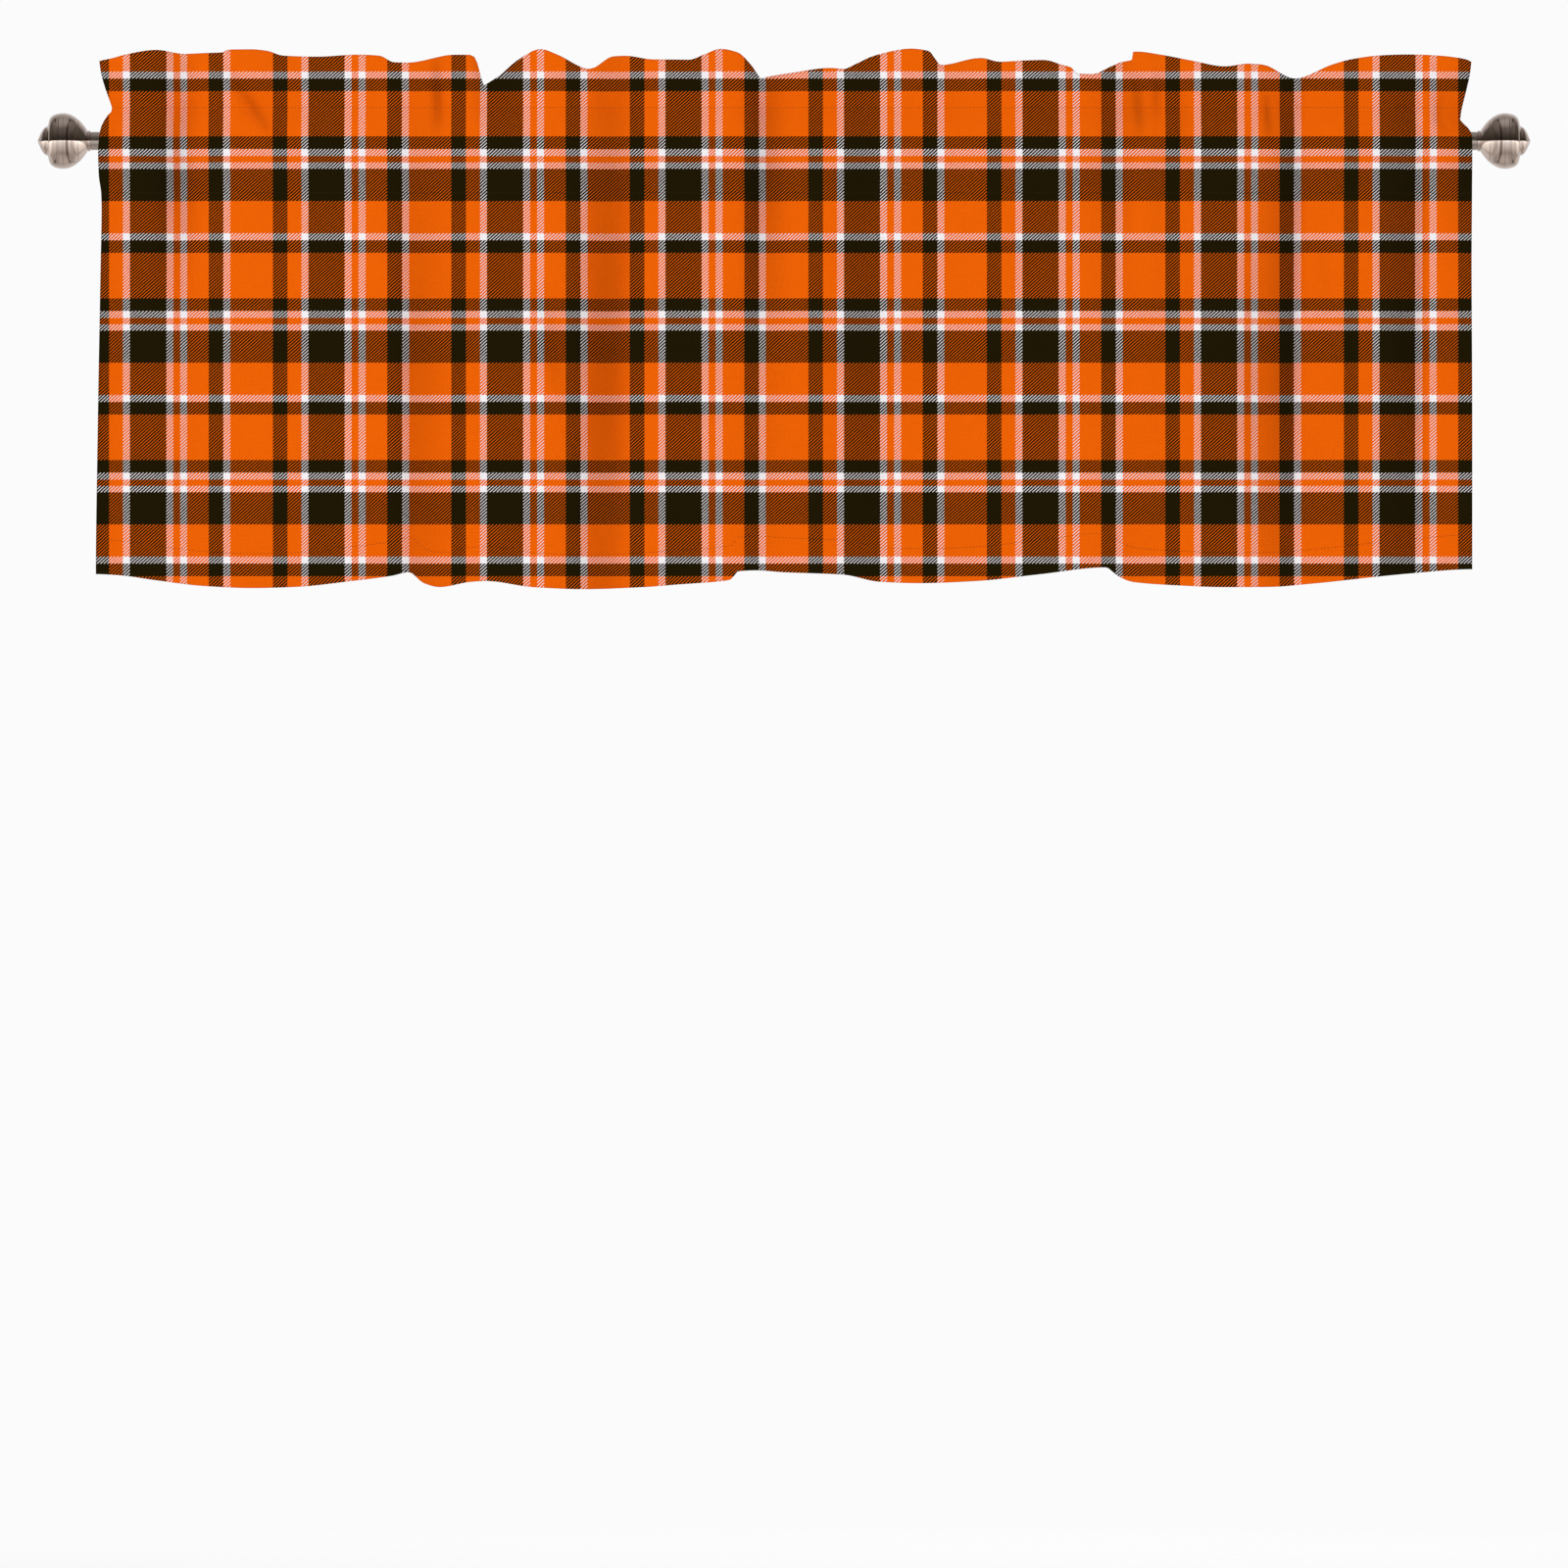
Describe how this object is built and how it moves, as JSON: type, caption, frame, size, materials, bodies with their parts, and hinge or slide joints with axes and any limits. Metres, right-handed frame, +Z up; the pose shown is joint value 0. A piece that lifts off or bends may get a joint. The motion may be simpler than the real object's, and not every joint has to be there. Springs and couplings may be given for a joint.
{
  "type": "rod-pocket window valance on a curtain rod",
  "caption": "Short window valance with a standing ruffled header and a rod pocket, gathered on a round curtain rod with a bulb finial at each end.",
  "frame": {"origin": "on the axis of the rod, halfway along it", "axes": "+X along the rod, -Y towards the room, +Z up"},
  "size_m": [1.3134, 0.049, 0.4757],
  "materials": {
    "plaid_cloth": "matt twill-woven plaid of orange, near-black and white",
    "rod_metal": "satin nickel",
    "finial_metal": "polished nickel with a warm tint"
  },
  "bodies": {
    "root": {"valance": "plaid_cloth", "rod": "rod_metal", "finial_left": "finial_metal", "finial_right": "finial_metal"}
  },
  "joints": []
}
